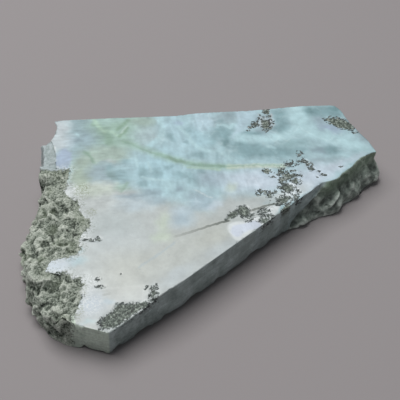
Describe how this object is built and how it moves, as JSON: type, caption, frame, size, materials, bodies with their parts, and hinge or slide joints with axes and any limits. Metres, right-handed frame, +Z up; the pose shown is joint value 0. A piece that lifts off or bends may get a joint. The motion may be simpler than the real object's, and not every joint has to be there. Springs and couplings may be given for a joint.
{
  "type": "larimar slab",
  "caption": "Flat sawn slab of pale blue larimar, polished on top, with straight cut sides and a rough grey-green natural rind along one end.",
  "frame": {"origin": "middle of the slab's box, on the surface that its flat sawn underside rests on", "axes": "+X along the long sawn back edge towards the narrow right end, +Y towards the back edge, +Z up through the polished face"},
  "size_m": [0.1056, 0.0776, 0.011],
  "materials": {
    "larimar": "satin polished face, sawn and natural broken sides"
  },
  "bodies": {
    "root": {"larimar_slab": "larimar"}
  },
  "joints": []
}
